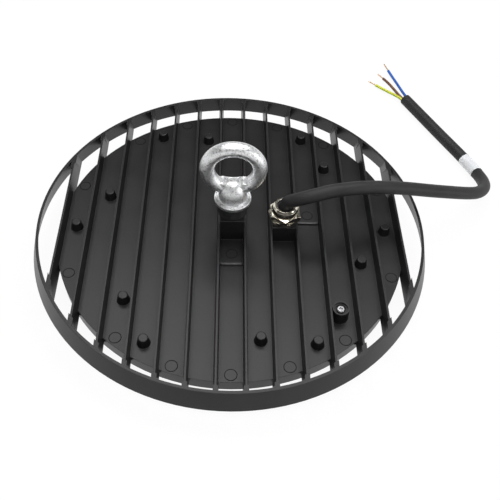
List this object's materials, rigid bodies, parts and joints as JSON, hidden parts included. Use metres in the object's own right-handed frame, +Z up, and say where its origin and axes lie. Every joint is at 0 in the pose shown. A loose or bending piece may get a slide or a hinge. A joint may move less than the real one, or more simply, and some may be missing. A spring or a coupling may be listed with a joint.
{
  "type": "high bay light",
  "caption": "Round shallow high bay light with a finned heat sink, eye bolt for hanging, cable gland with a short flexible cable, and a lens plate underneath.",
  "frame": {"origin": "on the floor under the centre of the round body, which lies lens down; the axis of the eye bolt passes through it", "axes": "+Z up along the eye bolt; fins run along Y; the cable gland is beside the eye bolt towards +X"},
  "size_m": [0.3444, 0.3649, 0.1008],
  "materials": {
    "black_paint": "satin powder coat",
    "zinc": "bright zinc over a forged surface",
    "spacer_black": "rough dark",
    "rubber_black": "matte",
    "nickel": "nickel plated brass",
    "clear_lens": "clear moulding",
    "gasket_grey": "matte silicone",
    "screw_steel": "plain steel",
    "board_white": "white solder mask",
    "led_yellow": "phosphor",
    "chip_black": "matte",
    "varistor_blue": "gloss",
    "capacitor_yellow": "gloss",
    "fuse_grey": "gloss",
    "terminal_white": "matte",
    "lead_grey": "insulated wire",
    "cable_black": "matte rubber jacket",
    "label_pale": "shrunk sleeve",
    "core_blue": "soft plastic",
    "core_brown": "soft plastic",
    "core_green_yellow": "soft plastic",
    "copper": "stranded copper"
  },
  "bodies": {
    "root": {"heat_sink": "black_paint", "eye_bolt": "zinc", "eye_bolt_spacer": "spacer_black", "gland_washer": "rubber_black", "gland_body": "nickel", "gland_dome_nut": "nickel", "gland_seal": "rubber_black", "gland_lock_nut": "nickel", "lens_plate": "clear_lens", "lens_gasket": "gasket_grey", "lens_frame": "black_paint", "frame_screws": "screw_steel", "board_screws": "screw_steel", "test_screw": "screw_steel", "led_board": "board_white", "led_packages": "led_yellow", "rectifier": "chip_black", "driver_chips": "chip_black", "varistor": "varistor_blue", "film_capacitor": "capacitor_yellow", "fuse": "fuse_grey", "terminal_block": "terminal_white", "inner_leads": "lead_grey", "supply_cable": "cable_black", "cable_label": "label_pale", "blue_core": "core_blue", "brown_core": "core_brown", "earth_core": "core_green_yellow", "blue_strands": "copper", "brown_strands": "copper", "earth_strands": "copper"}
  },
  "joints": []
}
